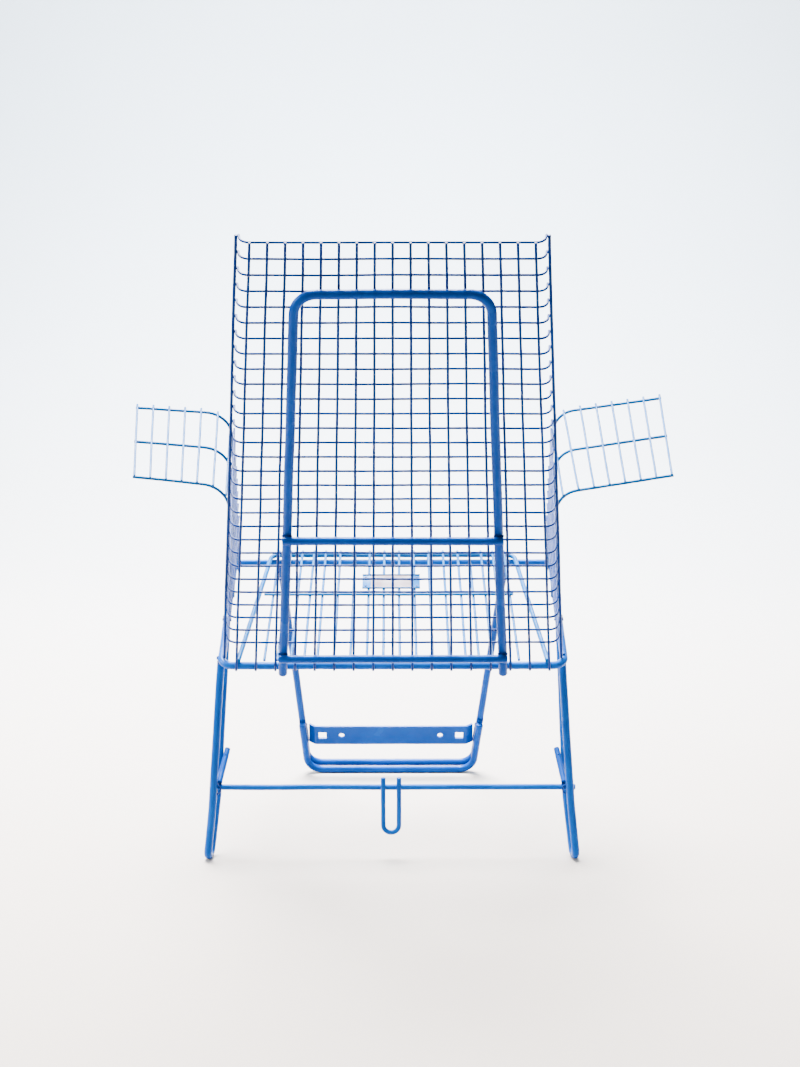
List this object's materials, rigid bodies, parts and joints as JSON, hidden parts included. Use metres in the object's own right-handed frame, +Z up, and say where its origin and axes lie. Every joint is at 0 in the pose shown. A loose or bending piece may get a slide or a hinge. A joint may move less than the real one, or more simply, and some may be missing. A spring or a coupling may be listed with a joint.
{
  "type": "wire armchair",
  "caption": "Small blue armchair of welded steel wire and rod, with a tall mesh back, folded-out wire armrests, rod legs and a seat that hinges up at its front edge.",
  "frame": {"origin": "on the floor, in the middle plane, halfway between the rear bar and the front foot bar", "axes": "+X to the sitter's left, -Y to the front, +Z up"},
  "size_m": [0.5395, 0.4987, 0.6463],
  "materials": {
    "frame_paint": "gloss blue enamel over rod",
    "mesh_paint": "gloss blue enamel over wire",
    "gate_paint": "gloss blue enamel over wire",
    "card": "matte pale card"
  },
  "bodies": {
    "frame": {"seat_ring": "frame_paint", "front_crossbar": "frame_paint", "back_column_wires": "mesh_paint", "back_row_wires": "mesh_paint", "basket_row_wires": "mesh_paint", "flange_rod_left": "frame_paint", "flange_rod_right": "frame_paint", "arm_wire_near_left": "frame_paint", "arm_wire_mid_left": "frame_paint", "arm_wire_rim_left": "frame_paint", "armrest_cross_wires_left": "frame_paint", "arm_wire_near_right": "frame_paint", "arm_wire_mid_right": "frame_paint", "arm_wire_rim_right": "frame_paint", "armrest_cross_wires_right": "frame_paint", "back_tube": "frame_paint", "tube_bar_upper": "frame_paint", "tube_bar_lower": "frame_paint", "rear_leg_left": "frame_paint", "rear_leg_right": "frame_paint", "cut_stub_left": "frame_paint", "cut_stub_right": "frame_paint", "rear_crossbar": "frame_paint", "hanging_loop": "frame_paint", "front_leg_frame": "frame_paint", "front_foot_frame": "frame_paint", "front_plate": "frame_paint"},
    "seat_gate": {"gate_rim_rod": "gate_paint", "gate_long_wires": "gate_paint", "gate_hinge_wires": "gate_paint", "gate_cross_wire": "gate_paint", "label_plate": "gate_paint", "label_card": "card", "label_rivets": "gate_paint"}
  },
  "joints": [
    {"name": "seat_hinge", "type": "hinge", "parent": "frame", "child": "seat_gate", "pos_m": [0, -0.0501, 0.27011], "axis": [1, 0, 0], "range_deg": [0, 85]}
  ]
}
